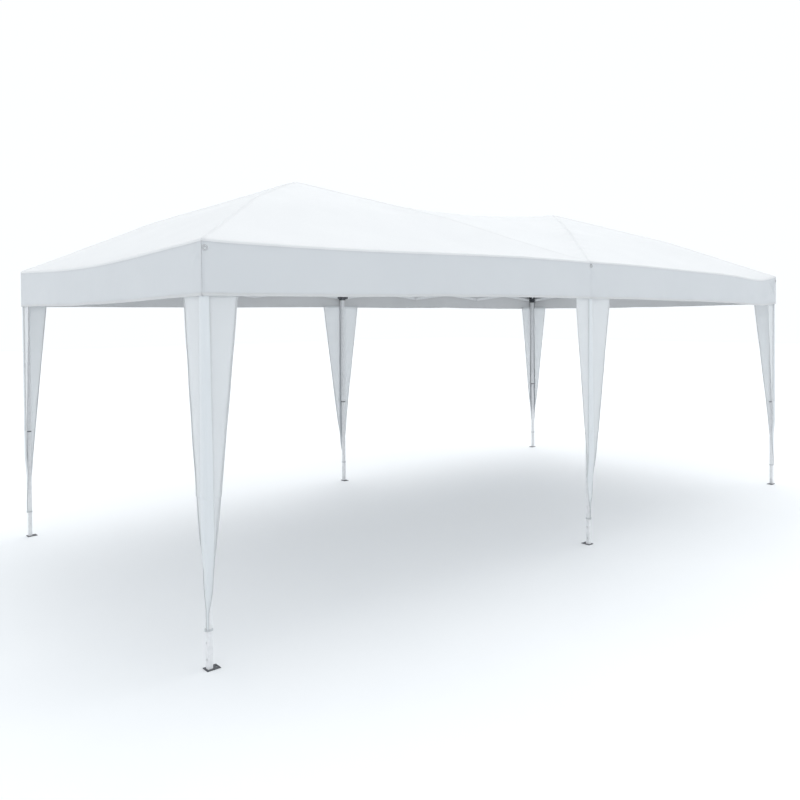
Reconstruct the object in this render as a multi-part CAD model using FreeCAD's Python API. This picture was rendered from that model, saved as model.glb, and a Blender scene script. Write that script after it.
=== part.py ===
"""Pop up canopy: two peaked roofs side by side on six telescopic legs.

The origin is on the ground at the centre of the six feet. +X runs along the long side, +Y along
the short side and +Z up. Legs are named back or front, then left (-X), middle or right (+X).
Each side of each bay is a scissor truss of three crossed pairs of bars. In a truss that runs from
its first leg to its second, a falling bar starts high and ends low, a rising bar the other way
round. The falling bars lie in one plane and the rising bars in another beside it.
"""
import FreeCAD
import Part
import math
import os

# Overall sizes, in millimetres.
BAY = 2950.0  # between leg axes, along X and along Y
COVER_OVERHANG = 30.0  # from the leg axes out to the cover's outer face
EAVE_Z = 2000.0
VALANCE_BOTTOM_Z = 1740.0
PEAK_Z = 2632.0
CLOTH = 1.0

# Telescopic legs.
OUTER_TUBE = 30.0
OUTER_WALL = 1.2
OUTER_BOTTOM_Z = 800.0
OUTER_TOP_Z = 1975.0
INNER_TUBE = 25.0
INNER_WALL = 1.2
INNER_TOP_Z = 960.0
BUTTON_Z = 835.0
BUTTON_RADIUS = 3.8
BUTTON_REACH = 13.4  # from the leg axis, just inside the outer tube's wall
LEG_HOLE_RADIUS = 4.5
HEIGHT_HOLE_PITCH = 75.0
HEIGHT_HOLES = 4
FOOT_HOLES_Z = (45.0, 125.0)
FOOT_THICKNESS = 3.0
FOOT_OUTWARD = 22.0
FOOT_INWARD = 46.0
FOOT_HALF_WIDTH = 25.0
STAKE_HOLE_RADIUS = 5.0
STAKE_HOLE_INWARD = 34.0

# Top brackets and sliders, both square collars round the outer tube.
BRACKET_SIDE = 44.0
BRACKET_BOTTOM_Z = 1928.0
BRACKET_TOP_Z = 2002.0
BRACKET_FIT = 0.3
SLIDER_SIDE = 46.0
SLIDER_BOTTOM_Z = 1815.0
SLIDER_TOP_Z = 1893.0
SLIDER_FIT = 0.6

# Scissor trusses.
UPPER_PIVOT_Z = 1950.0
LOWER_PIVOT_Z = 1840.0
PIVOT_REACH = 45.0  # from the leg axis to a truss pivot
PAIRS = 3
BAR_WIDTH = 12.0
BAR_HEIGHT = 25.0
BAR_WALL = 1.0
BAR_END = 13.0  # bar past its end pivot
BAR_SHIFT = 6.5  # each bar's centre plane from the truss plane
PIN_RADIUS = 4.0
PIN_HOLE_RADIUS = 4.6
RIVET_HEAD_RADIUS = 7.5
RIVET_HEAD = 2.0
PLAY = 0.6
EAR_THICKNESS = 4.0
EAR_RADIUS = 14.0
FORK_ROOT = 2.0  # how far a fork's ears run into its collar

# Peak frames: a hub on four folding rafters, each held up by a strut from its slider.
RAFTER_SIDE = 20.0
RAFTER_PIVOT_REACH = 60.0
RAFTER_PIVOT_Z = 1986.0
RAFTER_END = 11.0
KNEE_SHARE = 0.48  # of the way from the eave to the peak
KNEE_LIFT = 40.0  # the cover's ridge above a straight line, at the knee
KNEE_DROP = 20.0  # from the ridge down to the rafter's knee
KNEE_GAP = 8.0
KNEE_PIN = 38.0  # from the knee to each of its pins
KNEE_PLATE = 3.0
KNEE_PLATE_LENGTH = 110.0
KNEE_PLATE_HEIGHT = 22.0
HUB_RADIUS = 62.0
HUB_BOTTOM_Z = 2562.0
HUB_TOP_Z = 2594.0
HUB_DOME_TOP_Z = 2622.0
HUB_DOME_RADIUS = 46.0
HUB_DOME_TIP_RADIUS = 18.0
HUB_PIVOT_REACH = 80.0
HUB_PIVOT_Z = 2578.0
DIAGONAL_EAR_RADIUS = 10.0
STRUT_WIDTH = 12.0
STRUT_HEIGHT = 18.0
STRUT_PIVOT_REACH = 58.0
STRUT_PIVOT_Z = 1878.0
STRUT_END = 10.0
STRUT_TOP_REACH = 420.0
STRUT_BELOW_RAFTER = 24.0
LUG_PLATE = 3.0
LUG_LENGTH = 22.0

# Cover.
RIDGE_SAG = 100.0  # of the cloth's top line, midway between the two peaks
SKIRT_OUT = 28.0  # from the leg axis to the skirt's outer face
SKIRT_TOP_Z = 1760.0
SKIRT_BOTTOM_Z = 180.0
SKIRT_TOP_WIDTH = 200.0
SKIRT_BOTTOM_WIDTH = 12.0
GROMMET_RADIUS = 17.0
GROMMET_HOLE_RADIUS = 11.0
GROMMET_THICKNESS = 2.5
GROMMET_BELOW_EAVE = 42.0
GROMMET_FROM_CORNER = 24.0

# Worked out from the sizes above.
STEP = (BAY - 2 * PIVOT_REACH) / PAIRS
BAR_SLOPE = math.degrees(math.atan2(UPPER_PIVOT_Z - LOWER_PIVOT_Z, STEP))
BAR_LENGTH = math.hypot(STEP, UPPER_PIVOT_Z - LOWER_PIVOT_Z)
COVER_X = BAY + COVER_OVERHANG
COVER_Y = BAY / 2 + COVER_OVERHANG
RAFTER_RUN = BAY / math.sqrt(2)  # level distance from a leg axis to a peak's axis
RIDGE_RUN = COVER_Y * math.sqrt(2)

Z = FreeCAD.Vector(0, 0, 1)
Y = FreeCAD.Vector(0, 1, 0)

LEGS = {
    "front_left": (-BAY, -BAY / 2),
    "front_middle": (0.0, -BAY / 2),
    "front_right": (BAY, -BAY / 2),
    "back_left": (-BAY, BAY / 2),
    "back_middle": (0.0, BAY / 2),
    "back_right": (BAY, BAY / 2),
}
TRUSSES = {
    "front_left": ("front_left", "front_middle"),
    "front_right": ("front_middle", "front_right"),
    "back_left": ("back_left", "back_middle"),
    "back_right": ("back_middle", "back_right"),
    "left_side": ("front_left", "back_left"),
    "right_side": ("front_right", "back_right"),
}
PEAKS = {"left": (-BAY / 2, 0.0), "right": (BAY / 2, 0.0)}


def block(x, y, z):
    """A box from three (low, high) pairs."""
    shape = Part.makeBox(x[1] - x[0], y[1] - y[0], z[1] - z[0])
    shape.translate(FreeCAD.Vector(x[0], y[0], z[0]))
    return shape


def centred(side_x, side_y, z):
    """A box of the given sides about the Z axis."""
    return block((-side_x / 2, side_x / 2), (-side_y / 2, side_y / 2), z)


def cylinder_y(radius, y, x=0.0, z=0.0):
    """A cylinder along Y between two heights of y."""
    return Part.makeCylinder(radius, y[1] - y[0], FreeCAD.Vector(x, y[0], z), Y)


def turned(shape, degrees, axis=Z):
    """The shape turned about an axis through the origin."""
    copy = shape.copy()
    copy.rotate(FreeCAD.Vector(0, 0, 0), axis, degrees)
    return copy


def moved(shape, x, y, z=0.0):
    copy = shape.copy()
    copy.translate(FreeCAD.Vector(x, y, z))
    return copy


def heading(start, end):
    """The angle in plan of the line from one (x, y) point to another."""
    return math.degrees(math.atan2(end[1] - start[1], end[0] - start[0]))


def leg_trusses(leg):
    """The heading of each truss that ends at the leg."""
    ends = []
    for first, second in TRUSSES.values():
        if first == leg:
            ends.append(heading(LEGS[first], LEGS[second]))
        if second == leg:
            ends.append(heading(LEGS[second], LEGS[first]))
    return ends


def leg_peaks(leg):
    """The heading of each rafter that starts at the leg."""
    x, y = LEGS[leg]
    near = [peak for peak in PEAKS.values() if abs(peak[0] - x) < BAY]
    return [heading((x, y), peak) for peak in near]


def fork(start, reach, z, gap, shift, radius):
    """Two ears along +X with a pin between them, for a bar that lies `shift` from the XZ plane."""
    inner = gap / 2 + PLAY
    ears = []
    for side in (-1, 1):
        y = sorted((shift + side * inner, shift + side * (inner + EAR_THICKNESS)))
        ears.append(block((start, reach), y, (z - radius, z + radius)))
        ears.append(cylinder_y(radius, y, reach, z))
    outer = inner + EAR_THICKNESS
    pin = cylinder_y(PIN_RADIUS, (shift - outer, shift + outer), reach, z)
    return ears + [pin]


def truss_forks(leg, side, z, shift):
    """The forks of a square collar for its truss bars, which lie `shift` left of each heading."""
    pieces = []
    for angle in leg_trusses(leg):
        made = fork(side / 2 - FORK_ROOT, PIVOT_REACH, z, BAR_WIDTH, shift, EAR_RADIUS)
        pieces += [turned(piece, angle) for piece in made]
    return pieces


def diagonal_forks(leg, side, reach, z, gap):
    """The forks on a square collar's corners, one towards each peak that the leg carries."""
    start = side / math.sqrt(2) - gap / 2 - PLAY - EAR_THICKNESS - FORK_ROOT
    pieces = []
    for angle in leg_peaks(leg):
        made = fork(start, reach, z, gap, 0.0, DIAGONAL_EAR_RADIUS)
        pieces += [turned(piece, angle) for piece in made]
    return pieces


def tube_z(side, wall, z):
    inner = side - 2 * wall
    return centred(side, side, z).cut(centred(inner, inner, z))


def bored_x(shape, radius, side, heights):
    """The shape with a hole along X through it at each height."""
    for z in heights:
        start = FreeCAD.Vector(-side, 0, z)
        shape = shape.cut(Part.makeCylinder(radius, 2 * side, start, FreeCAD.Vector(1, 0, 0)))
    return shape


def upper_leg(leg):
    """The outer tube with its row of height holes, and the bracket on top of it."""
    tube = tube_z(OUTER_TUBE, OUTER_WALL, (OUTER_BOTTOM_Z, OUTER_TOP_Z))
    heights = [BUTTON_Z + HEIGHT_HOLE_PITCH * i for i in range(HEIGHT_HOLES)]
    tube = bored_x(tube, LEG_HOLE_RADIUS, OUTER_TUBE, heights)
    bracket = centred(BRACKET_SIDE, BRACKET_SIDE, (BRACKET_BOTTOM_Z, BRACKET_TOP_Z))
    forks = truss_forks(leg, BRACKET_SIDE, UPPER_PIVOT_Z, BAR_SHIFT)
    forks += diagonal_forks(leg, BRACKET_SIDE, RAFTER_PIVOT_REACH, RAFTER_PIVOT_Z, RAFTER_SIDE)
    socket_side = OUTER_TUBE + 2 * BRACKET_FIT
    socket = centred(socket_side, socket_side, (BRACKET_BOTTOM_Z, OUTER_TOP_Z))
    bracket = bracket.fuse(forks).cut(socket).removeSplitter()
    return [moved(shape, *LEGS[leg]) for shape in (tube, bracket)]


def foot_heading(leg):
    """Corner feet point in along the long side, and middle feet along the short side."""
    x, y = LEGS[leg]
    return heading((0, 0), (0, -y)) if x == 0 else heading((0, 0), (-x, 0))


def lower_leg(leg):
    """The inner tube, its foot plate with a stake hole, and the snap button near its top."""
    tube = tube_z(INNER_TUBE, INNER_WALL, (FOOT_THICKNESS, INNER_TOP_Z))
    tube = bored_x(tube, LEG_HOLE_RADIUS, INNER_TUBE, FOOT_HOLES_Z)
    width = (-FOOT_HALF_WIDTH, FOOT_HALF_WIDTH)
    plate = block((-FOOT_OUTWARD, FOOT_INWARD), width, (0, FOOT_THICKNESS))
    stake = Part.makeCylinder(
        STAKE_HOLE_RADIUS, FOOT_THICKNESS, FreeCAD.Vector(STAKE_HOLE_INWARD, 0, 0), Z
    )
    plate = turned(plate.cut(stake), foot_heading(leg))
    outward = FreeCAD.Vector(1 if LEGS[leg][0] > 0 else -1, 0, 0)
    start = outward * (INNER_TUBE / 2) + FreeCAD.Vector(0, 0, BUTTON_Z)
    button = Part.makeCylinder(BUTTON_RADIUS, BUTTON_REACH - INNER_TUBE / 2, start, outward)
    return [moved(shape, *LEGS[leg]) for shape in (tube, plate, button)]


def slider(leg):
    """The collar that runs up the outer tube and locks the frame open."""
    collar = centred(SLIDER_SIDE, SLIDER_SIDE, (SLIDER_BOTTOM_Z, SLIDER_TOP_Z))
    forks = truss_forks(leg, SLIDER_SIDE, LOWER_PIVOT_Z, -BAR_SHIFT)
    forks += diagonal_forks(leg, SLIDER_SIDE, STRUT_PIVOT_REACH, STRUT_PIVOT_Z, STRUT_WIDTH)
    bore_side = OUTER_TUBE + 2 * SLIDER_FIT
    bore = centred(bore_side, bore_side, (SLIDER_BOTTOM_Z, SLIDER_TOP_Z))
    return [moved(collar.fuse(forks).cut(bore).removeSplitter(), *LEGS[leg])]


def square_bar(length, width, height, ends, holes):
    """A rectangular tube along +X, `ends` longer than the length at its start and its end, and
    bored along Y at each of `holes`."""
    x = (-ends[0], length + ends[1])
    outer = block(x, (-width / 2, width / 2), (-height / 2, height / 2))
    inner_y = (BAR_WALL - width / 2, width / 2 - BAR_WALL)
    bar = outer.cut(block(x, inner_y, (BAR_WALL - height / 2, height / 2 - BAR_WALL)))
    for hole in holes:
        bar = bar.cut(cylinder_y(PIN_HOLE_RADIUS, (-width, width), hole))
    return bar


def rivet():
    """A rivet through both bars of a crossing, its first head on the falling bar's outer face."""
    face = BAR_SHIFT + BAR_WIDTH / 2
    shank = cylinder_y(PIN_RADIUS, (-face - PLAY, face))
    near = cylinder_y(RIVET_HEAD_RADIUS, (face, face + RIVET_HEAD))
    far = cylinder_y(RIVET_HEAD_RADIUS, (-face - PLAY - RIVET_HEAD, -face - PLAY))
    return shank.fuse([near, far]).removeSplitter()


def truss_bar(truss, index, falling):
    """One bar of the truss, with the rivets that it carries if it is a falling one."""
    holes = (0.0, BAR_LENGTH / 2, BAR_LENGTH)
    bar = square_bar(BAR_LENGTH, BAR_WIDTH, BAR_HEIGHT, (BAR_END, BAR_END), holes)
    shapes = [moved(bar, 0, BAR_SHIFT if falling else -BAR_SHIFT)]
    if falling:
        # The first and last end pivots are pins of the legs' forks.
        spots = holes[1 if index == 0 else 0 : 2 if index == PAIRS - 1 else 3]
        shapes += [moved(rivet(), spot, 0) for spot in spots]
    start_z = UPPER_PIVOT_Z if falling else LOWER_PIVOT_Z
    slope = BAR_SLOPE if falling else -BAR_SLOPE
    first, second = (LEGS[name] for name in TRUSSES[truss])
    made = []
    for shape in shapes:
        shape = moved(turned(shape, slope, Y), PIVOT_REACH + STEP * index, 0, start_z)
        made.append(moved(turned(shape, heading(first, second)), *first))
    return made


def along(point, slope, distance):
    """The (x, z) point at a distance from another up a slope in radians."""
    return point[0] + distance * math.cos(slope), point[1] + distance * math.sin(slope)


def sloped(shapes, point, slope):
    """Shapes drawn about the origin, tipped up by a slope in radians and moved to an (x, z)."""
    tipped = [turned(shape, -math.degrees(slope), Y) for shape in shapes]
    return [moved(shape, point[0], 0, point[1]) for shape in tipped]


def plates_with_pins(x, z, thickness, pins):
    """Two plates against a rafter's sides, joined by pins at (x, z) points."""
    inner = RAFTER_SIDE / 2
    outer = inner + thickness
    shapes = [block(x, y, z) for y in ((-outer, -inner), (inner, outer))]
    shapes += [cylinder_y(PIN_RADIUS, (-outer, outer), *pin) for pin in pins]
    return shapes[0].fuse(shapes[1:]).removeSplitter()


def rafter():
    """A folding rafter and its strut, from a leg axis at the origin to a peak along +X."""
    foot = (RAFTER_PIVOT_REACH, RAFTER_PIVOT_Z)
    ridge_knee_z = EAVE_Z + KNEE_SHARE * (PEAK_Z - EAVE_Z) + KNEE_LIFT
    knee = (KNEE_SHARE * RIDGE_RUN - COVER_OVERHANG * math.sqrt(2), ridge_knee_z - KNEE_DROP)
    head = (RAFTER_RUN - HUB_PIVOT_REACH, HUB_PIVOT_Z)
    low_slope = math.atan2(knee[1] - foot[1], knee[0] - foot[0])
    high_slope = math.atan2(head[1] - knee[1], head[0] - knee[0])
    low_length = math.dist(foot, knee) - KNEE_GAP
    high_length = math.dist(knee, head) - KNEE_GAP
    pin = KNEE_PIN - KNEE_GAP
    low = square_bar(
        low_length, RAFTER_SIDE, RAFTER_SIDE, (RAFTER_END, 0), (0, low_length - pin)
    )
    high = square_bar(high_length, RAFTER_SIDE, RAFTER_SIDE, (0, RAFTER_END), (pin, high_length))
    pieces = sloped([low], foot, low_slope)
    pieces += sloped([high], along(knee, high_slope, KNEE_GAP), high_slope)

    half_bend = (low_slope - high_slope) / 2
    pin_x, pin_z = KNEE_PIN * math.cos(half_bend), -KNEE_PIN * math.sin(half_bend)
    half_length, half_height = KNEE_PLATE_LENGTH / 2, KNEE_PLATE_HEIGHT / 2
    joint = plates_with_pins(
        (-half_length, half_length),
        (-half_height, half_height),
        KNEE_PLATE,
        ((-pin_x, pin_z), (pin_x, pin_z)),
    )
    pieces += sloped([joint], knee, low_slope - half_bend)

    reach = (STRUT_TOP_REACH - foot[0]) / math.cos(low_slope)
    lug_at = along(foot, low_slope, reach)
    lug_z = (-STRUT_BELOW_RAFTER - STRUT_END, RAFTER_SIDE / 2)
    lug = plates_with_pins(
        (-LUG_LENGTH / 2, LUG_LENGTH / 2), lug_z, LUG_PLATE, ((0, -STRUT_BELOW_RAFTER),)
    )
    pieces += sloped([lug], lug_at, low_slope)
    strut_foot = (STRUT_PIVOT_REACH, STRUT_PIVOT_Z)
    strut_head = along(lug_at, low_slope - math.pi / 2, STRUT_BELOW_RAFTER)
    strut_length = math.dist(strut_foot, strut_head)
    strut_slope = math.atan2(strut_head[1] - strut_foot[1], strut_head[0] - strut_foot[0])
    strut = square_bar(
        strut_length, STRUT_WIDTH, STRUT_HEIGHT, (STRUT_END, STRUT_END), (0, strut_length)
    )
    return pieces + sloped([strut], strut_foot, strut_slope)


def hub():
    """The peak's hub: a disc with a domed cap and four forks for the rafters."""
    disc = Part.makeCylinder(HUB_RADIUS, HUB_TOP_Z - HUB_BOTTOM_Z, Z * HUB_BOTTOM_Z, Z)
    dome = Part.makeCone(
        HUB_DOME_RADIUS, HUB_DOME_TIP_RADIUS, HUB_DOME_TOP_Z - HUB_TOP_Z, Z * HUB_TOP_Z, Z
    )
    forks = fork(
        HUB_RADIUS - EAR_RADIUS, HUB_PIVOT_REACH, HUB_PIVOT_Z, RAFTER_SIDE, 0.0, DIAGONAL_EAR_RADIUS
    )
    turns = [turned(piece, 45 + 90 * quarter) for quarter in range(4) for piece in forks]
    return disc.fuse([dome] + turns).removeSplitter()


def peak_frame(peak):
    """A hub, and a rafter with its strut from each of the four legs round it."""
    pieces = [moved(hub(), *PEAKS[peak])]
    for position in LEGS.values():
        if abs(position[0] - PEAKS[peak][0]) < BAY:
            angle = heading(position, PEAKS[peak])
            pieces += [moved(turned(piece, angle), *position) for piece in rafter()]
    return pieces


def panel(points):
    """A flat panel of cloth with its top face through the points."""
    corners = [FreeCAD.Vector(*point) for point in points]
    face = Part.Face(Part.makePolygon(corners + corners[:1]))
    return face.extrude(FreeCAD.Vector(0, 0, -CLOTH))


def knee_of(corner, peak):
    """Where the ridge from an eave corner to a peak bends over its rafter's knee."""
    plan = [low + KNEE_SHARE * (high - low) for low, high in zip(corner, peak)]
    return (*plan, EAVE_Z + KNEE_SHARE * (PEAK_Z - EAVE_Z) + KNEE_LIFT)


def roof_face(first, second, peak):
    """The roof between two eave corners and a peak, bent along the line between the knees."""
    knees = knee_of(first, peak), knee_of(second, peak)
    low = panel([(*first, EAVE_Z), (*second, EAVE_Z), knees[1], knees[0]])
    return [low, panel([knees[0], knees[1], (*peak, PEAK_Z)])]


def roof_valley(side):
    """The roof between the two peaks and one middle leg, whose top line sags."""
    corner = (0.0, side * COVER_Y)
    left, right = PEAKS["left"], PEAKS["right"]
    knee_left, knee_right = knee_of(corner, left), knee_of(corner, right)
    middle = (0.0, 0.0, PEAK_Z - RIDGE_SAG)
    return [
        panel([(*corner, EAVE_Z), knee_right, knee_left]),
        panel([knee_left, knee_right, middle]),
        panel([knee_right, (*right, PEAK_Z), middle]),
        panel([(*left, PEAK_Z), knee_left, middle]),
    ]


def roof_cover():
    """The top cloth, as flat panels that meet edge to edge."""
    panels = roof_valley(-1) + roof_valley(1)
    for peak in PEAKS.values():
        out = math.copysign(COVER_X, peak[0])
        for side in (-1, 1):
            panels += roof_face((out, side * COVER_Y), (0.0, side * COVER_Y), peak)
        panels += roof_face((out, -COVER_Y), (out, COVER_Y), peak)
    return panels


def valance():
    """The band of cloth that hangs from the eaves, one strip for each bay."""
    z = (VALANCE_BOTTOM_Z, EAVE_Z - CLOTH)
    strips = []
    for side in (-1, 1):
        y = sorted((side * COVER_Y, side * (COVER_Y - CLOTH)))
        strips += [block(x, y, z) for x in ((-COVER_X, 0.0), (0.0, COVER_X))]
        x = sorted((side * COVER_X, side * (COVER_X - CLOTH)))
        strips.append(block(x, (CLOTH - COVER_Y, COVER_Y - CLOTH), z))
    return strips


def leg_skirts():
    """The tapered cloth outside each leg: two wings at a corner, one double panel in the middle."""
    wing = [
        (SKIRT_TOP_WIDTH, SKIRT_TOP_Z),
        (SKIRT_TOP_WIDTH, VALANCE_BOTTOM_Z),
        (SKIRT_BOTTOM_WIDTH, SKIRT_BOTTOM_Z),
    ]
    mirrored = [(-reach, z) for reach, z in reversed(wing)]
    panels = []
    for x, y in LEGS.values():
        side = math.copysign(1.0, y)
        out_y = y + side * SKIRT_OUT
        if x == 0:
            outline = [FreeCAD.Vector(reach, out_y, z) for reach, z in wing + mirrored]
            panels.append((outline, (0, -side)))
            continue
        end = math.copysign(1.0, x)
        out_x = x + end * SKIRT_OUT
        edge = [(-SKIRT_OUT, SKIRT_BOTTOM_Z), (-SKIRT_OUT, SKIRT_TOP_Z)]
        outline = [FreeCAD.Vector(x - end * reach, out_y, z) for reach, z in wing + edge]
        panels.append((outline, (0, -side)))
        edge = [(CLOTH - SKIRT_OUT, z) for _, z in edge]
        outline = [FreeCAD.Vector(out_x, y - side * reach, z) for reach, z in wing + edge]
        panels.append((outline, (-end, 0)))
    made = []
    for outline, inward in panels:
        face = Part.Face(Part.makePolygon(outline + outline[:1]))
        made.append(face.extrude(FreeCAD.Vector(*inward, 0) * CLOTH))
    return made


def grommets():
    """The metal eyelets in the valance, one beside each leg."""
    rings = []
    for x, y in LEGS.values():
        side = math.copysign(1.0, y)
        at_x = x - math.copysign(GROMMET_FROM_CORNER, x) + math.copysign(COVER_OVERHANG, x)
        at = FreeCAD.Vector(at_x if x else 0.0, side * COVER_Y, EAVE_Z - GROMMET_BELOW_EAVE)
        out = Y * side
        ring = Part.makeCylinder(GROMMET_RADIUS, GROMMET_THICKNESS, at, out)
        hole = Part.makeCylinder(GROMMET_HOLE_RADIUS, GROMMET_THICKNESS, at, out)
        rings.append(ring.cut(hole))
    return rings


def canopy():
    """Every sub-part's solids, by name."""
    nodes = {}
    for leg in LEGS:
        nodes[f"leg_{leg}_upper"] = upper_leg(leg)
        nodes[f"leg_{leg}_lower"] = lower_leg(leg)
        nodes[f"slider_{leg}"] = slider(leg)
    for truss in TRUSSES:
        for index in range(PAIRS):
            nodes[f"truss_{truss}_falling_{index + 1}"] = truss_bar(truss, index, True)
            nodes[f"truss_{truss}_rising_{index + 1}"] = truss_bar(truss, index, False)
    for peak in PEAKS:
        nodes[f"peak_frame_{peak}"] = peak_frame(peak)
    nodes["roof_cover"] = roof_cover()
    nodes["valance"] = valance()
    nodes["leg_skirts"] = leg_skirts()
    nodes["grommets"] = grommets()
    return nodes


os.makedirs("parts", exist_ok=True)
for name, solids in canopy().items():
    shape = Part.makeCompound(solids) if len(solids) > 1 else solids[0]
    shape.exportStep(f"parts/{name}.step")
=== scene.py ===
import math

import bpy
import numpy as np
from mathutils import Euler, Matrix, Vector, noise


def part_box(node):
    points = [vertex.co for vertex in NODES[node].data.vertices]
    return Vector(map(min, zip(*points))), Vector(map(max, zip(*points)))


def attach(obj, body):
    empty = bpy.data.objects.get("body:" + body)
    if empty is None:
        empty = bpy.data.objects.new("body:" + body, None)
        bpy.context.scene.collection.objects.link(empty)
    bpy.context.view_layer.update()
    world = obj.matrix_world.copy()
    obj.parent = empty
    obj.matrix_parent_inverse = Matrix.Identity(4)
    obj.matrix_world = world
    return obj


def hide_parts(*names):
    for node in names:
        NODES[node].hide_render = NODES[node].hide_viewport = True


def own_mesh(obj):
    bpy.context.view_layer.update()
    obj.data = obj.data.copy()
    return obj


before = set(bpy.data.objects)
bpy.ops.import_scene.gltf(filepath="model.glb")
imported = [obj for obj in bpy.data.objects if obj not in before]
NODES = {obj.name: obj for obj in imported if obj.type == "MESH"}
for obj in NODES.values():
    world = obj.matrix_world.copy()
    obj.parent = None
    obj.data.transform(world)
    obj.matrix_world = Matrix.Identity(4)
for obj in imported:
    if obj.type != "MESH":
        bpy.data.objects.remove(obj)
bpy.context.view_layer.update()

# ---------------------------------------------------------------- places, in metres
COVER_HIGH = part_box("roof_cover")[1]
HX, HY = COVER_HIGH.x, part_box("valance")[1].y
OVERHANG = 0.030  # from a leg's axis out to the cover
LEG_X, LEG_Y = HX - OVERHANG, HY - OVERHANG
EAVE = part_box("valance")[1].z
VALANCE_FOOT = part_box("valance")[0].z
VALANCE_DEPTH = EAVE - VALANCE_FOOT
PEAK = COVER_HIGH.z
RISE = PEAK - EAVE
HUB_X = (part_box("peak_frame_right")[0].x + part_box("peak_frame_right")[1].x) / 2
PEAK_X = HUB_X + 0.025  # the cloth's peaks lean a little outward from the hubs
VALLEY = 0.100  # sag of the top line midway between the peaks
SKIRT_LOW, SKIRT_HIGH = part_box("leg_skirts")

LEGS = {
    "front_left": (-1, -1), "front_middle": (0, -1), "front_right": (1, -1),
    "back_left": (-1, 1), "back_middle": (0, 1), "back_right": (1, 1),
}


def smooth(t):
    t = min(1.0, max(0.0, t))
    return t * t * (3 - 2 * t)


def bell(x, width):
    return math.exp(-((x / width) ** 2))


def wander(x, y, z, scale):
    """Smooth noise from -1 to 1, the same every run."""
    return noise.noise(Vector((x, y, z)) * scale)


# ---------------------------------------------------------------- camera and light
SENSOR, FOCAL = 36.0, 34.452  # mm
SHIFT_UP = -0.088
STANDPOINT = (-4.572, -4.756, 1.626)
HEADING, PITCH, ROLL = -40.56, -0.82, -0.46  # degrees, from looking level along +y
SUN_POWER, SUN_SPREAD = 0.70, 50  # W/m2 and degrees: as soft as a large softbox
SUN_LEAN = (-12, 24)  # degrees from straight down, about x and then y
SUN_COLOUR = (1.0, 0.99, 0.975)
STUDIO_COLOUR, STUDIO_POWER = (0.945, 0.976, 1.0, 1), 1.05


def make_camera():
    data = bpy.data.cameras.new("camera")
    data.sensor_width = SENSOR
    data.lens = FOCAL
    data.shift_y = SHIFT_UP
    camera = bpy.data.objects.new("camera", data)
    bpy.context.scene.collection.objects.link(camera)
    turn = Matrix.Rotation(math.radians(HEADING), 4, "Z")
    tilt = Matrix.Rotation(math.radians(90 + PITCH), 4, "X")
    roll = Matrix.Rotation(math.radians(ROLL), 4, "Z")
    camera.matrix_world = Matrix.Translation(STANDPOINT) @ turn @ tilt @ roll
    bpy.context.scene.camera = camera


def make_light():
    data = bpy.data.lights.new("softbox", "SUN")
    data.energy = SUN_POWER
    data.angle = math.radians(SUN_SPREAD)
    data.color = SUN_COLOUR
    lamp = bpy.data.objects.new("softbox", data)
    lamp.rotation_euler = Euler((math.radians(SUN_LEAN[0]), math.radians(SUN_LEAN[1]), 0))
    bpy.context.scene.collection.objects.link(lamp)
    world = bpy.data.worlds.new("studio")
    world.use_nodes = True
    background = world.node_tree.nodes["Background"]
    background.inputs["Color"].default_value = STUDIO_COLOUR
    background.inputs["Strength"].default_value = STUDIO_POWER
    bpy.context.scene.world = world
    bpy.context.scene.view_settings.view_transform = "Standard"


# ---------------------------------------------------------------- materials
class Net:
    """A material's node tree, built a node at a time."""

    def __init__(self, name):
        self.material = bpy.data.materials.new(name)
        self.material.use_nodes = True
        self.tree = self.material.node_tree
        self.shader = self.tree.nodes["Principled BSDF"]

    def add(self, kind, settings=None, **inputs):
        node = self.tree.nodes.new("ShaderNode" + kind)
        for key, value in (settings or {}).items():
            setattr(node, key, value)
        for key, value in inputs.items():
            self.put(node, int(key[1:]) if key[0] == "_" else key.replace("_", " "), value)
        return node

    def put(self, node, key, value):
        if isinstance(value, bpy.types.NodeSocket):
            self.tree.links.new(value, node.inputs[key])
        else:
            node.inputs[key].default_value = value

    def math(self, operation, a, b=0.0, c=0.0):
        return self.add("Math", {"operation": operation}, _0=a, _1=b, _2=c).outputs[0]

    def ramp(self, factor, low, high, to_low=0.0, to_high=1.0):
        node = self.add("MapRange", {"interpolation_type": "SMOOTHSTEP"}, Value=factor)
        for end, source, target in (("Min", low, to_low), ("Max", high, to_high)):
            node.inputs["From " + end].default_value = source
            node.inputs["To " + end].default_value = target
        return node.outputs[0]

    def mix(self, factor, a, b):
        node = self.add("Mix", {"data_type": "RGBA"})
        for key, value in ((0, factor), (6, a), (7, b)):
            self.put(node, key, value)
        return node.outputs[2]

    def grain(self, scale, detail=3.0, stretch=(1, 1, 1)):
        place = self.add("TexCoord").outputs["Object"]
        if stretch != (1, 1, 1):
            place = self.add("Mapping", Vector=place, Scale=stretch).outputs[0]
        return self.add("TexNoise", Vector=place, Scale=scale, Detail=detail).outputs[0]

    def bump(self, height, distance, strength=1.0, before=None):
        node = self.add("Bump", Height=height, Distance=distance, Strength=strength)
        if before is not None:
            self.put(node, "Normal", before)
        return node.outputs[0]

    def finish(self, colour, roughness, normal, **fixed):
        self.put(self.shader, "Base Color", colour)
        self.put(self.shader, "Roughness", roughness)
        self.put(self.shader, "Normal", normal)
        for key, value in fixed.items():
            self.shader.inputs[key.replace("_", " ")].default_value = value
        return self.material


def rgb(red, green, blue):
    """An sRGB colour of 0 to 255, as the linear colour a shader takes."""
    def linear(v):
        v /= 255
        return v / 12.92 if v <= 0.04045 else ((v + 0.055) / 1.055) ** 2.4
    return (linear(red), linear(green), linear(blue), 1.0)


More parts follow.
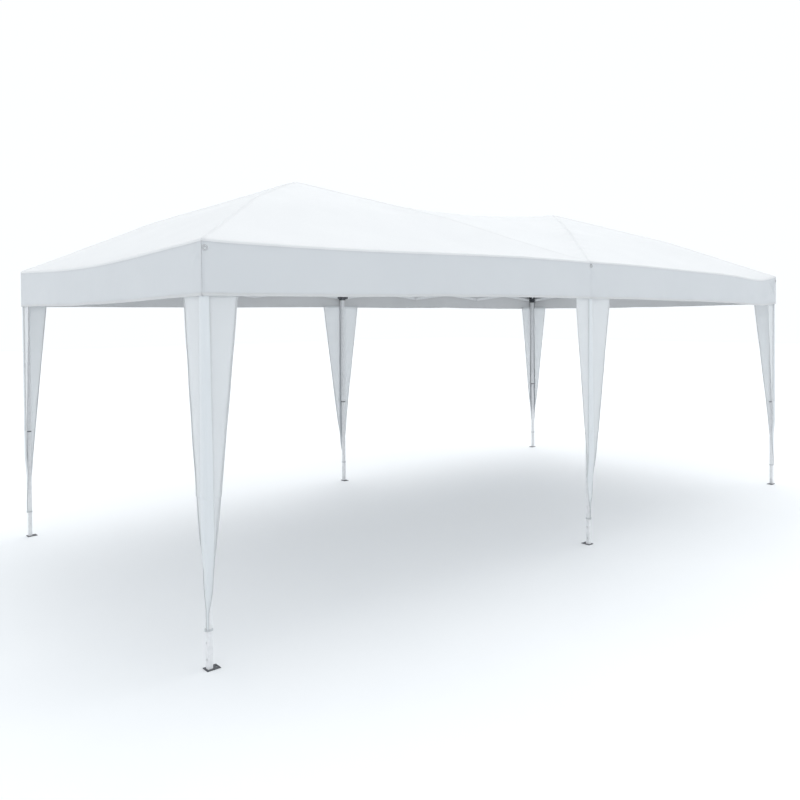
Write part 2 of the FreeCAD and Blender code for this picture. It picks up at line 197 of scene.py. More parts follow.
THREAD = 0.0016  # a pair of threads
STITCH = 0.0048
STITCH_FADE = (0.0005, 0.0012)  # where a stitch fades out, from the middle of its row
HEM_ROWS = (0.005, 0.010)  # rows of stitches in from a hem
SEAM_ROWS = (0.005, 0.011)  # rows of stitches beside a seam
HEM_DOUBLED, SEAM_DOUBLED = (0.011, 0.014), (0.013, 0.015)  # where the second layer ends
HEM_SOILED, SEAM_SOILED = (0.002, 0.05), (0.002, 0.03)  # where the soiling fades out


def cloth_material(name, clean, worn, glow, reach=0.0006):
    """Coated polyester, with woven threads, doubled and stitched hems, creases and soiled edges.

    reach is how far light spreads in it, in metres, and glow how much of it does."""
    net = Net(name)
    uv = net.add("SeparateXYZ", Vector=net.add("UVMap").outputs[0])
    u, v = uv.outputs[0], uv.outputs[1]
    sew = net.add("Attribute", {"attribute_name": "sew"}).outputs["Vector"]
    sew = net.add("SeparateXYZ", Vector=sew)
    hem, seam, along = sew.outputs[0], sew.outputs[1], sew.outputs[2]
    warp = net.math("SINE", net.math("MULTIPLY", u, 2 * math.pi / THREAD))
    weft = net.math("SINE", net.math("MULTIPLY", v, 2 * math.pi / THREAD))
    weave = net.math("MULTIPLY", warp, weft)

    def row(distance, place, run):
        near = net.math("ABSOLUTE", net.math("SUBTRACT", distance, place))
        wave = net.math("SINE", net.math("MULTIPLY", run, 2 * math.pi / STITCH))
        dash = net.ramp(wave, -0.5, -0.1)
        return net.math("MULTIPLY", net.ramp(near, *STITCH_FADE, 1.0, 0.0), dash)

    def beside(hem_fade, seam_fade):
        """1 beside a hem or a seam, 0 further in."""
        at_hem, at_seam = net.ramp(hem, *hem_fade, 1.0, 0.0), net.ramp(seam, *seam_fade, 1.0, 0.0)
        return net.math("MAXIMUM", at_hem, at_seam)

    run = net.math("ADD", u, v)
    stitches = row(hem, HEM_ROWS[0], run)
    others = ((hem, HEM_ROWS[1], run), (seam, SEAM_ROWS[0], along), (seam, SEAM_ROWS[1], along))
    for distance, place, way in others:
        stitches = net.math("ADD", stitches, row(distance, place, way))
    doubled = beside(HEM_DOUBLED, SEAM_DOUBLED)
    blotch = net.grain(1.7, 5.0)
    fine = net.grain(60.0, 3.0)
    edge = beside(HEM_SOILED, SEAM_SOILED)
    wear = net.math("MULTIPLY", edge, net.ramp(net.grain(9.0, 6.0), 0.4, 0.75))
    mark = net.math("ADD", net.math("MULTIPLY", blotch, 0.35), net.math("MULTIPLY", wear, 0.2))
    mark = net.math("ADD", mark, net.math("MULTIPLY", stitches, 0.5))
    colour = net.mix(net.math("MINIMUM", mark, 1.0), clean, worn)
    cloudy = net.math("ADD", blotch, net.math("MULTIPLY", fine, 0.3))
    roughness = net.ramp(cloudy, 0.3, 1.0, 0.5, 0.72)
    creases = net.grain(2.6, 4.0, (1.0, 1.0, 0.35))
    relief = net.math("MULTIPLY", doubled, 0.25)
    relief = net.math("SUBTRACT", relief, net.math("MULTIPLY", stitches, 0.6))
    normal = net.bump(creases, 0.02, 0.35)
    normal = net.bump(relief, 0.001, 0.8, normal)
    normal = net.bump(weave, 0.0002, 0.35, normal)
    normal = net.bump(fine, 0.0008, 0.4, normal)
    return net.finish(
        colour, roughness, normal, Sheen_Weight=0.15, Specular_IOR_Level=0.35,
        Subsurface_Weight=glow, Subsurface_Radius=(1.0, 1.0, 1.0), Subsurface_Scale=reach,
    )


def painted_material(name, paint, bare, gloss=(0.3, 0.5), metallic=0.0):
    """Paint or coating on metal: orange peel, dust, and rubbed edges."""
    net = Net(name)
    cloud = net.grain(7.0, 5.0)
    peel = net.grain(650.0, 2.0)
    streak = net.grain(22.0, 4.0, (3.0, 3.0, 0.25))
    edge = net.ramp(net.add("NewGeometry").outputs["Pointiness"], 0.52, 0.60)
    rubbed = net.math("MULTIPLY", edge, net.ramp(net.grain(45.0, 5.0), 0.42, 0.62, 0.0, 0.35))
    mark = net.math("ADD", rubbed, net.math("MULTIPLY", net.ramp(streak, 0.45, 0.8), 0.3))
    mark = net.math("ADD", mark, net.math("MULTIPLY", cloud, 0.15))
    colour = net.mix(net.math("MINIMUM", mark, 1.0), paint, bare)
    cloudy = net.math("ADD", cloud, net.math("MULTIPLY", streak, 0.5))
    roughness = net.ramp(cloudy, 0.4, 1.1, *gloss)
    normal = net.bump(peel, 0.0003, 0.3)
    normal = net.bump(cloud, 0.002, 0.2, normal)
    return net.finish(colour, roughness, normal, Metallic=metallic)


def plastic_material(name, body, scuffed):
    """Moulded nylon: fine spark-eroded texture, flow marks and scuffed corners."""
    net = Net(name)
    place = net.add("TexCoord").outputs["Object"]
    texture = net.add("TexVoronoi", Vector=place, Scale=900.0).outputs[0]
    flow = net.grain(14.0, 5.0, (1.0, 1.0, 2.5))
    edge = net.ramp(net.add("NewGeometry").outputs["Pointiness"], 0.51, 0.58)
    scuff = net.math("MULTIPLY", edge, net.ramp(net.grain(60.0, 5.0), 0.38, 0.6))
    mark = net.math("ADD", scuff, net.math("MULTIPLY", flow, 0.3))
    colour = net.mix(net.math("MINIMUM", mark, 1.0), body, scuffed)
    roughness = net.ramp(flow, 0.3, 0.7, 0.42, 0.6)
    normal = net.bump(texture, 0.0002, 0.35)
    normal = net.bump(flow, 0.001, 0.15, normal)
    return net.finish(colour, roughness, normal)


def floor_material():
    net = Net("studio_floor")
    cloud = net.grain(0.8, 4.0)
    colour = net.mix(cloud, rgb(243, 245, 247), rgb(248, 249, 250))
    roughness = net.ramp(cloud, 0.3, 0.7, 0.6, 0.7)
    return net.finish(colour, roughness, net.bump(net.grain(40.0), 0.0005, 0.2))


ROOF_CLOTH = cloth_material("roof_cloth", rgb(225, 226, 227), rgb(211, 212, 214), 0.35)
# Painted shade: the valances are the roof's cloth, coloured darker and a little bluer for the
# weaker, bluer light on their upright faces.
SHADED_SIDE_CLOTH = cloth_material("side_cloth_painted_shade", rgb(207, 210, 213), rgb(192, 196, 200), 0.25)
# Painted shade: the inner faces of the roof and valances are their cloth, coloured darker than the
# roof's top for the shade under the roof.
SHADED_INNER_CLOTH = cloth_material("inner_cloth_painted_shade", rgb(210, 211, 212), rgb(194, 196, 198), 0.25)
SKIRT_CLOTH = cloth_material("skirt_cloth", rgb(204, 207, 209), rgb(191, 194, 197), 1.0, 0.0025)
SKIRT_BAND = cloth_material("doubled_skirt_cloth", rgb(219, 223, 226), rgb(205, 210, 213), 0.3)
STEEL = painted_material("powder_coated_steel", rgb(232, 233, 235), rgb(214, 216, 218))
# The foot plates are coloured dark grey.
DARK_FOOT_STEEL = painted_material(
    "dark_steel", rgb(74, 77, 82), rgb(128, 130, 134), gloss=(0.35, 0.6), metallic=0.6)
PIN_STEEL = painted_material(
    "zinc_rivets", rgb(176, 178, 181), rgb(120, 120, 122), gloss=(0.25, 0.45), metallic=0.9)
EYELET = painted_material(
    "eyelet_metal", rgb(196, 198, 200), rgb(120, 118, 114), gloss=(0.18, 0.36), metallic=1.0)
DARK_PLASTIC = plastic_material("dark_nylon", rgb(62, 65, 70), rgb(110, 113, 118))
PALE_PLASTIC = plastic_material("pale_nylon", rgb(208, 211, 214), rgb(182, 185, 188))


# ---------------------------------------------------------------- mesh helpers
def make_piece(name, points, faces, material, normals=None, uv=None, sew=None):
    mesh = bpy.data.meshes.new(name)
    mesh.from_pydata([tuple(p) for p in points], [], [tuple(f) for f in faces])
    mesh.materials.append(material)
    mesh.polygons.foreach_set("use_smooth", [True] * len(mesh.polygons))
    if uv is not None:
        layer = mesh.uv_layers.new(name="cloth")
        corner = np.zeros(len(mesh.loops), np.int32)
        mesh.loops.foreach_get("vertex_index", corner)
        layer.data.foreach_set("uv", np.array(uv, np.float32)[corner].ravel())
    if sew is not None:
        attribute = mesh.attributes.new("sew", "FLOAT_VECTOR", "POINT")
        attribute.data.foreach_set("vector", np.array(sew, np.float32).ravel())
    mesh.validate()
    if normals is not None:
        mesh.normals_split_custom_set_from_vertices([tuple(n) for n in normals])
    piece = bpy.data.objects.new(name, mesh)
    bpy.context.scene.collection.objects.link(piece)
    return piece


def vertex_normals(points, faces):
    """Smooth normals of a mesh, weighted by area."""
    p = np.array(points, float)
    total = np.zeros_like(p)
    for face in faces:
        a, b, c = p[face[0]], p[face[1]], p[face[2]]
        n = np.cross(b - a, c - a)
        if len(face) == 4:
            n = n + np.cross(c - a, p[face[3]] - a)
        for index in face:
            total[index] += n
    length = np.linalg.norm(total, axis=1)
    return total / np.maximum(length, 1e-12)[:, None]


CLOTH_THICKNESS = 0.0006


def make_sheet(name, points, faces, outer, inner, normals, uv, sew, lined=(), lining=None):
    """A sheet with a face each side and a rim.

    The inner side has a material of its own, and so do the lined faces, on both sides."""
    count = len(points)
    p = np.array(points, float)
    n = np.array(normals, float)
    every = [*map(tuple, p), *map(tuple, p - n * CLOTH_THICKNESS)]
    directed = {(f[i - 1], f[i]) for f in faces for i in range(len(f))}
    rim = [(b, a, a + count, b + count) for a, b in sorted(directed) if (b, a) not in directed]
    back = [[v + count for v in (f[0], *f[:0:-1])] for f in faces]
    both = [*map(tuple, n), *map(tuple, -n)]
    piece = make_piece(name, every, [*faces, *rim, *back], outer, both, [*uv, *uv], [*sew, *sew])
    piece.data.materials.append(inner)
    start = len(faces) + len(rim)
    slots = [0] * start + [1] * len(faces)
    if lining is not None:
        piece.data.materials.append(lining)
        for i in lined:
            slots[i] = slots[start + i] = 2
    piece.data.polygons.foreach_set("material_index", slots)
    return piece


class Cloth:
    """A sheet's vertices and faces, welded where two rows or columns meet in a point."""

    def __init__(self):
        self.points, self.uv, self.sew, self.faces = [], [], [], []
        self.known = {}

    def vertex(self, place, uv, sew, key=None):
        key = key or tuple(round(c, 5) for c in place)
        if key not in self.known:
            self.known[key] = len(self.points)
            self.points.append(place)
            self.uv.append(uv)
            self.sew.append(sew)
        return self.known[key]

    def grid(self, rows, flip=False):
        first = len(self.faces)
        for upper, lower in zip(rows, rows[1:]):
            for a, b, c, d in zip(upper, upper[1:], lower[1:], lower):
                corners = [a, b, c, d]
                corners = [v for i, v in enumerate(corners) if v != corners[i - 1]]
                if len(set(corners)) == len(corners) and len(corners) > 2:
                    self.faces.append(corners[::-1] if flip else corners)
        return list(range(first, len(self.faces)))

    def piece(self, name, outer, inner, lined=(), lining=None):
        normals = vertex_normals(self.points, self.faces)
        mesh = (self.points, self.faces)
        return make_sheet(name, *mesh, outer, inner, normals, self.uv, self.sew, lined, lining)


# ---------------------------------------------------------------- roof
KNEE = 0.48  # the rafters' knee, as a share of the way from the eave to the peak
KNEE_BLEND = 0.10
# How far a knee stands above a straight ridge, for the rafters of a corner and of a middle leg.
CORNER_LIFT = {(-1, -1): 0.050, (-1, 1): 0.040, (1, -1): 0.042, (1, 1): 0.042}
MIDDLE_LIFT = {(-1, -1): 0.046, (-1, 1): 0.044, (1, -1): 0.042, (1, 1): 0.042}
FACE_SAG = 0.017  # of a face between its two rafters
EAVE_FADE = 0.10  # how fast the wander of the edge dies out up the roof
WAVES, RIPPLES = 0.0026, 0.0014  # heights of the broad and the fine unevenness
PUCKERS = 0.0035  # along the seam from the right peak to the front middle leg
SEAM_RIDGE, SEAM_WIDTH = 0.0028, 0.007
BRACKET_LIFTS, BRACKET_WIDTH = (0.002, 0.004), 0.04  # middle legs, corner legs


def kneed(t):
    """The bend of a ridge over its rafter's knee, 1 at the knee."""
    up, down = t / KNEE, (1 - t) / (1 - KNEE)
    h = min(1.0, max(0.0, 0.5 + 0.5 * (down - up) / KNEE_BLEND))
    return max(0.0, down + (up - down) * h - KNEE_BLEND * h * (1 - h))


MIDDLE_RISE = {"front": 0.022, "back": 0.010}  # of the cover's edge at the middle legs


def middle_rise(side, share):
    """The cover's edge climbs to the middle legs. share runs from the left or front corner."""
    front, end = side.split("_")
    if end == "end":
        return 0.0
    return MIDDLE_RISE[front] * (share if end == "left" else 1 - share)


def eave_sag(side, share):
    """How far the cover's edge stands above or below a straight line from leg to leg.

    Each side hangs in its own way. The front right one dips just before its corner."""
    if side == "left_end":
        return -0.038 * math.sin(math.pi * share) ** 1.3
    if side == "right_end":
        return -0.026 * math.sin(math.pi * share) ** 1.3
    if side == "front_left":
        return -0.007 * math.sin(2 * math.pi * share)
    if side == "front_right":
        w = (1 - share) / 0.13
        return -0.042 * w * w * math.exp(2 - 2 * w) + 0.004 * math.sin(3 * math.pi * share)
    if side == "back_left":
        return -0.016 * math.sin(math.pi * share)
    return -0.014 * math.sin(math.pi * share) - 0.006 * math.sin(3 * math.pi * share)


def eave_offset(side, share):
    return middle_rise(side, share) + eave_sag(side, share)


def bracket_push(x, y):
    """The cloth's small rise over the top bracket of each leg."""
    lift = 0.0
    for sx, sy in LEGS.values():
        r = math.hypot(x - sx * LEG_X, y - sy * LEG_Y)
        lift = max(lift, BRACKET_LIFTS[abs(sx)] * bell(r, BRACKET_WIDTH))
    return lift


def roof_height(patch, sx, sy, t, s, x, y, seam):
    """t runs up from the eave to the peak, and s along the patch's level line."""
    corner, middle = CORNER_LIFT[sx, sy], MIDDLE_LIFT[sx, sy]
    height = EAVE + RISE * t
    fade = math.exp(-t / EAVE_FADE)
    end, front = ("left", "right")[sx > 0], ("front", "back")[sy > 0]
    if patch == "end":
        mean = (CORNER_LIFT[sx, 1] + CORNER_LIFT[sx, -1]) / 2
        height += kneed(t) * (mean + (corner - mean) * s * s)
        height -= FACE_SAG * (1 - s * s) * 4 * t * (1 - t)
        share = 0.5 + 0.5 * sy * s
        height += eave_offset(f"{end}_end", share) * fade
    elif patch == "face":
        height += kneed(t) * (corner + (middle - corner) * s)
        height -= FACE_SAG * (1 - (2 * s - 1) ** 2) * 4 * t * (1 - t)
        share = s if sx < 0 else 1 - s
        height += eave_offset(f"{front}_{end}", share) * fade
    else:
        hollow = 1 - (1 - s) ** 2
        height += MIDDLE_RISE[front] * fade
        height += kneed(t) * middle * (1 - hollow) - VALLEY * t * hollow
    folds = WAVES * wander(x, y, 0.0, 2.2) + RIPPLES * wander(x, y, 3.0, 6.0)
    height += folds * min(1.0, 8 * t) * min(1.0, 6 * (1 - t) + 0.1)
    if patch != "end" and sx > 0 and sy < 0:
        edge = min(1.0, (1 - s) * 6) if patch == "valley" else smooth(s * 3)
        pucker = math.sin(2 * math.pi * t / 0.075) + 0.6 * math.sin(2 * math.pi * t / 0.047 + 1)
        height += PUCKERS * pucker * bell(seam, 0.10) * edge * smooth(t * 8) * smooth((1 - t) * 8)
    height += SEAM_RIDGE * bell(seam, SEAM_WIDTH) * (0.0 if t > 0.995 else 1.0)
    return height + bracket_push(x, y)


ROOF_OFFSETS = [0.005, 0.010, 0.018, 0.032, 0.055]  # distances from a seam


def near_seam(width, count, both):
    """Shares across a face, closer together beside its seams."""
    width = max(width, 1e-6)
    near = [
        min(offset * math.sqrt(2) / width, 0.5 * (i + 1) / count)
        for i, offset in enumerate(ROOF_OFFSETS)
    ]
    last = near[-1]
    end = 1 - last if both else 1.0
    middle = [last + (end - last) * i / count for i in range(1, count if both else count + 1)]
    shares = [0.0] + near + middle
    if both:
        shares += [1 - o for o in reversed(near)] + [1.0]
    return shares


# Distances in from the eave, closer together beside the hem, to the peak line.
ROOF_ROWS = [0, 0.005, 0.012, 0.022, 0.036, 0.055]
ROOF_ROWS += [0.055 + (1.505 - 0.055) * i / 58 for i in range(1, 59)]


def roof_row(sx, sy, distance):
    """One row of the roof, from the end's middle line to the middle of the long side.

    The end patch meets the face at the corner rafter, and the face meets the valley, which lies
    between the two bays, at the middle rafter."""
    t = min(1.0, distance / ROOF_ROWS[-1])
    level_y, corner_x, crease_x = HY * (1 - t), HX - (HX - PEAK_X) * t, PEAK_X * t
    row = []
    for s in reversed(near_seam(level_y, 16, False)):
        row.append(("end", t, 1 - s, corner_x, level_y * (1 - s), level_y * s / math.sqrt(2)))
    width = corner_x - crease_x
    for s in near_seam(width, 30, True)[1:]:
        seam = min(s, 1 - s) * width / math.sqrt(2)
        row.append(("face", t, s, corner_x - width * s, level_y, seam))
    for s in near_seam(crease_x, 18, False)[1:]:
        row.append(("valley", t, s, crease_x * (1 - s), level_y, crease_x * s / math.sqrt(2)))
    return [(patch, t, s, sx * x, sy * y, seam) for patch, t, s, x, y, seam in row]


FLANGE = ((0.0020, -0.012), (0.0016, -0.003))  # the roof's edge turned down: out and up


def build_roof():
    """The whole roof is shaped in one go, then cut along its two middle lines into four sheets."""
    cloth = Cloth()
    quarters = {}
    for sx in (-1, 1):
        for sy in (-1, 1):
            rows = []
            for out, up in FLANGE:
                row = []
                for patch, t, s, x, y, seam in roof_row(sx, sy, 0.0):
                    z = roof_height(patch, sx, sy, t, s, x, y, seam)
                    px = x + (sx * out if patch == "end" else 0.0)
                    py = y + (sy * out if patch != "end" or s == 1.0 else 0.0)
                    key = (round(px, 5), round(py, 5), out)
                    row.append(cloth.vertex((px, py, z + up), (x, y), (0.0, seam, y), key))
                rows.append(row)
            for distance in ROOF_ROWS:
                row = []
                for patch, t, s, x, y, seam in roof_row(sx, sy, distance):
                    z = roof_height(patch, sx, sy, t, s, x, y, seam)
                    key = (round(x, 5), round(y, 5))
                    row.append(cloth.vertex((x, y, z), (x, y), (distance, seam, y), key))
                rows.append(row)
            quarters[sx, sy] = cloth.grid(rows, flip=sx * sy < 0)
    normals = vertex_normals(cloth.points, cloth.faces)
    for (sx, sy), members in quarters.items():
        used = sorted({v for f in members for v in cloth.faces[f]})
        place = {v: i for i, v in enumerate(used)}
        name = f"roof_{('front', 'back')[sy > 0]}_{('left', 'right')[sx > 0]}"
        faces = [[place[v] for v in cloth.faces[f]] for f in members]
        piece = make_sheet(
            name, [cloth.points[v] for v in used], faces, ROOF_CLOTH, SHADED_INNER_CLOTH,
            normals[used], [cloth.uv[v] for v in used], [cloth.sew[v] for v in used],
        )
        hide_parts("roof_cover")
        with_quarter(piece, sx, sy)


def with_quarter(piece, sx, sy):
    """Rides the bar of the end truss that starts at that corner."""
    bar = f"{('left', 'right')[sx > 0]}_side_{'rising_1' if sy < 0 else 'falling_3'}"
    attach(piece, bar)
    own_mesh(piece)


# ---------------------------------------------------------------- valance
SIDES = {
    "front_left": ((-1, -1), (0, -1)), "front_right": ((0, -1), (1, -1)),
    "back_left": ((-1, 1), (0, 1)), "back_right": ((0, 1), (1, 1)),
    "left_end": ((-1, -1), (-1, 1)), "right_end": ((1, -1), (1, 1)),
}
RIDES = {
    "front_left": "front_middle", "front_right": "front_middle", "back_left": "back_middle",
    "back_right": "back_middle", "left_end": "front_left", "right_end": "front_right",
}
ABOVE = {side: [f"roof_{side}"] for side in SIDES}  # the roof quarters that a valance hangs from
ABOVE["left_end"] = ["roof_front_left", "roof_back_left"]
ABOVE["right_end"] = ["roof_front_right", "roof_back_right"]
# The hem turned up on the outside, as (out, up) from the valance's foot.
HEM_ROLL = (
    (0.0010, -0.0010), (0.0021, 0.0), (0.0022, 0.003),
    (0.0018, 0.007), (0.0012, 0.011), (0.0004, 0.0125),
)
PROUD = 0.0008  # the least that a valance stands out from its plane
FAN_FOLDS = 0.0030  # half the height of the folds at an eyelet
GROMMET_BELOW = 0.040  # the eave to an eyelet's middle
GROMMET_IN = 0.0155  # the cover's corner to an eyelet's middle


def gather_folds(distance, depth):
    """Folds that fan out in the cloth from a fixing."""
    r = math.hypot(distance, depth - GROMMET_BELOW)
    angle = math.atan2(depth - GROMMET_BELOW, distance)
    return FAN_FOLDS * (1 + math.cos(7 * angle + 0.6)) * smooth(r / 0.04) * math.exp(-r / 0.10)


def valance_out(side, share, depth, length):
    """How far a valance stands out from its plane."""
    run = share * length
    to_end = min(run, length - run)
    seed = 7.0 * list(SIDES).index(side)
    low = depth / VALANCE_DEPTH
    out = 0.0050 * wander(run, 0.0, seed, 2.4) * low
    out += 0.0030 * wander(run, depth * 2, seed + 3, 7.0) * (0.3 + low)
    out += 0.0020 * math.sin(2 * math.pi * run / 0.41 + seed) * low * low
    if side == "front_right":  # slack, bunched cloth before the corner
        slack = bell(length - run - 0.20, 0.075)
        belly, ripple = math.sin(math.pi * min(1.0, low * 1.2)), math.sin(9 * low + 2)
        out += 0.012 * slack * belly + 0.005 * slack * ripple
        bunched = bell(length - run - 0.09, 0.06) * smooth((0.8 - low) / 0.3) * smooth(low / 0.08)
        out += 0.007 * bunched * (1 + math.sin(2 * math.pi * (11 * depth + 15 * (length - run))))
    for end in (0.0, length):
        away = abs(run - end)
        fixing = 0.0 if (end == 0.0) == (SIDES[side][0][0] == 0) else GROMMET_IN
        reach, strength = (0.45, 1.7) if side == "left_end" else (0.25, 1.0)
        out += strength * gather_folds(away - fixing, depth) * bell(away, reach)
    return PROUD + max(out, 0.0) * smooth(to_end / 0.03) * smooth((depth - 0.010) / 0.03)


def valance_foot(share, length):
    """How far the valance's lower edge wanders from level."""
    run = share * length
    rise = 0.0045 * math.sin(math.pi * share) + 0.0032 * wander(run, 5.0, 1.0, 3.0)
    return rise * smooth(min(run, length - run) / 0.06)


VALANCE_STEP = 0.018  # between a valance's columns
VALANCE_ENDS = [0.004, 0.010]  # places close to a corner
VALANCE_TOPS = [0.0, 0.006, 0.014]  # depths close to the eave
FLIPPED_SIDES = ("front_left", "front_right", "right_end")  # their rows run the other way round


def build_valance(side):
    (ax, ay), (bx, by) = SIDES[side]
    start, end = Vector((ax * HX, ay * HY, 0)), Vector((bx * HX, by * HY, 0))
    length = (end - start).length
    outward = Vector((0, ay, 0)) if ay == by else Vector((ax, 0, 0))
    count = round(length / VALANCE_STEP)
    near, inner = VALANCE_ENDS, length - 2 * VALANCE_ENDS[-1]
    runs = [0.0] + near + [near[-1] + inner * i / count for i in range(1, count)]
    runs += [length - n for n in reversed(near)] + [length]
    first = VALANCE_TOPS[-1]
    depths = VALANCE_TOPS + [first + (VALANCE_DEPTH - first) * i / 16 for i in range(1, 17)]
    cloth = Cloth()
    rows = []
    for level, depth in enumerate(depths + list(HEM_ROLL)):
        row = []
        for run in runs:
            share = run / length
            place = start + (end - start) * share
            top = EAVE + eave_offset(side, share) + bracket_push(place.x, place.y) * 0.8
            foot = VALANCE_FOOT + 0.8 * middle_rise(side, share) + 0.5 * eave_sag(side, share)
            foot += valance_foot(share, length)
            if level < len(depths):
                out = valance_out(side, share, depth, length)
                z = top + (foot - top) * depth / VALANCE_DEPTH - 0.003 * (1 - depth / VALANCE_DEPTH)
                to_hem = min(depth, VALANCE_DEPTH - depth)
                down = depth
            else:
                roll_out, roll_up = depth
                out = valance_out(side, share, VALANCE_DEPTH, length)
                out += roll_out * smooth(min(run, length - run) / 0.008)
                z = foot + roll_up
                to_hem = max(0.0, roll_up)
                down = VALANCE_DEPTH + 0.002 + max(0.0, roll_up)
            place = place + outward * out
            sew = (to_hem, min(run, length - run), down)
            row.append(cloth.vertex((place.x, place.y, z), (run, down), sew))
        rows.append(row)
    cloth.grid(rows, flip=side in FLIPPED_SIDES)
    piece = cloth.piece(f"valance_{side}", SHADED_SIDE_CLOTH, SHADED_INNER_CLOTH)
    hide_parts("valance")
    leg = RIDES[side]
    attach(piece, f"slider_{leg}")
    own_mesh(piece)


# ---------------------------------------------------------------- skirts round the legs
SKIRT_TOP = SKIRT_HIGH.z
SKIRT_TIP = SKIRT_LOW.z
MEET = 0.41  # where the skirt has narrowed to the leg
WIDE_Z = 1.74  # the valance's foot
SIDE_PANEL = 12  # places across a skirt from its free edge to the band over the leg
LOWER_GAP, UPPER_GAP = 0.0155, 0.0275  # the band's distance from the axis, low and high
TUBE_END = 0.80
BAND_START = -0.010  # where the band's flat begins, across the leg's corner
FLAT_LIMIT = 0.0280  # the furthest out a panel may stand, inside the valance
# From the leg's axis at the valance's foot, along the long side and along the short side.
SKIRT_WIDTHS = {
    "front_left": (0.156, 0.178), "front_right": (0.134, 0.175), "back_left": (0.147, 0.144),
    "back_right": (0.160, 0.185), "front_middle": (0.222, 0.160), "back_middle": (0.198, 0.198),
}


def skirt_reach(width, z):
    """How far a skirt's free edge is from the leg's axis."""
    if z > MEET:
        return 0.016 + (width - 0.016) * (z - MEET) / (WIDE_Z - MEET)
    return -0.020 + 0.036 * smooth((z - SKIRT_TIP) / (MEET - SKIRT_TIP))


def skirt_plane(z):
    """How far the band over the leg is from the leg's axis.

    It is close to the lower leg, clear of the slider above, and steps out over the tube's end."""
    near = LOWER_GAP + (UPPER_GAP - LOWER_GAP) * smooth((z - 0.43) / 0.20)
    return near + (0.0009 + 0.0014 * smooth((0.86 - z) / 0.04) if z > TUBE_END else 0.0)


def skirt_side(reach, z, seed):
    """Places across one side of a skirt, as (along, out), from the band to the free edge."""
    plane = skirt_plane(z)
    tuck = plane - 0.0080 * smooth((z - 0.40) / 0.15) + 0.0040 * smooth((z - 1.72) / 0.06)
    start = BAND_START
    strip = 0.019 - 0.013 * smooth((z - 0.5) / 1.4)
    room = min(1.0, max(0.03, (reach - start) / (strip + 0.005 - start)))
    band = [start + (strip - 0.001 - start) * k / 4 for k in range(5)]
    places = [(start + (a - start) * room, plane) for a in band]
    places.append((start + (strip + 0.001 - start) * room, plane - (plane - tuck) * 0.35))
    crease = start + (strip + 0.004 - start) * room
    places.append((crease, tuck))
    panel = max(reach - crease, 0.0012)
    for i in range(1, 9):
        share = i / 8
        out = tuck + 0.0045 * share * smooth((z - 0.45) / 0.3)
        out += 0.0035 * wander(share * 0.25, z, seed, 5.0) * share * smooth(panel / 0.08)
        places.append((crease + panel * share, min(out, FLAT_LIMIT)))
    edge, out = places[-1]
    fold = min(0.007, 0.4 * panel)
    places += [(edge + 0.0005, out + 0.0008), (edge - 0.0006, out + 0.0016)]
    places.append((edge - fold, out + 0.0012))
    return places


def skirt_levels():
    """Heights of a skirt's rows, closer together round the tube's end."""
    levels = [SKIRT_TOP - (SKIRT_TOP - SKIRT_TIP) * i / 74 for i in range(75)]
    return sorted(set(levels + [0.812, 0.8025, 0.7985, 0.788]), reverse=True)


def build_skirt(leg):
    """One sheet: round the corner of a corner leg, or flat across a middle leg."""
    sx, sy = LEGS[leg]
    axis_x, axis_y = sx * LEG_X, sy * LEG_Y
    wide, deep = SKIRT_WIDTHS[leg]
    seed = 3.0 + 5.0 * list(LEGS).index(leg)
    cloth = Cloth()
    rows = []
    band = set()
    total = 0.0
    for z in skirt_levels():
        one = skirt_side(skirt_reach(wide, z), z, seed)
        two = skirt_side(skirt_reach(deep, z), z, seed + 2)
        if sx:
            radius = skirt_plane(z) + BAND_START
            path = [(a, -out) for a, out in reversed(one)]
            for k in range(1, 6):
                angle = math.pi / 2 * k / 6
                across, out = radius * math.sin(angle), radius * math.cos(angle)
                path.append((BAND_START - across, BAND_START - out))
            path += [(-out, a) for a, out in two]
            places = [(axis_x - sx * a, axis_y - sy * b) for a, b in path]
        else:
            path = [(a - BAND_START, out) for a, out in reversed(one)]
            path += [(-a + BAND_START, out) for a, out in two]
            places = [(a, axis_y + sy * out) for a, out in path]
        row = []
        lengths = [0.0]
        for p, q in zip(places, places[1:]):
            lengths.append(lengths[-1] + math.hypot(q[0] - p[0], q[1] - p[1]))
        total = max(total, lengths[-1])
        for run, (x, y) in zip(lengths, places):
            to_edge = min(run, lengths[-1] - run)
            sew = (min(0.2, SKIRT_TOP - z), to_edge, z)
            row.append(cloth.vertex((x, y, z), (run, z), sew, (len(rows), len(row))))
        rows.append(row)
        band.update(row[SIDE_PANEL:len(row) - SIDE_PANEL])
    cloth.grid(rows, flip=(sx * sy < 0) if sx else sy > 0)
    lined = [i for i, face in enumerate(cloth.faces) if band.issuperset(face)]
    piece = cloth.piece(f"skirt_{leg}", SKIRT_CLOTH, SKIRT_CLOTH, lined, SKIRT_BAND)
    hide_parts("leg_skirts")
    gather_with_leg(piece, leg)


def gather_with_leg(piece, leg):
    """The piece rides its leg."""
    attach(piece, f"leg_{leg}")
    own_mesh(piece)


# ---------------------------------------------------------------- eyelets, ties and tube ends
def lathe(name, profile, centre, forward, steps, material):
    """A ring turned about the forward axis. profile is a closed outline of (radius, forward)."""
    forward = Vector(forward)
    side = Vector((0, 0, 1)).cross(forward).normalized()
    points, faces = [], []
    for i in range(steps):
        angle = 2 * math.pi * i / steps
        across = side * math.cos(angle) + Vector((0, 0, 1)) * math.sin(angle)
        for radius, reach in profile:
            points.append(Vector(centre) + across * radius + forward * reach)
    n = len(profile)
    for i in range(steps):
        j = (i + 1) % steps
        for k in range(n):
            m = (k + 1) % n
            faces.append((i * n + k, j * n + k, j * n + m, i * n + m))
    return make_piece(name, points, faces, material)


EYELET_RING, EYELET_HOLE, EYELET_THICK = 0.0145, 0.0080, 0.0032
EYELET_OUT = 0.0028  # the cover's plane to an eyelet's middle


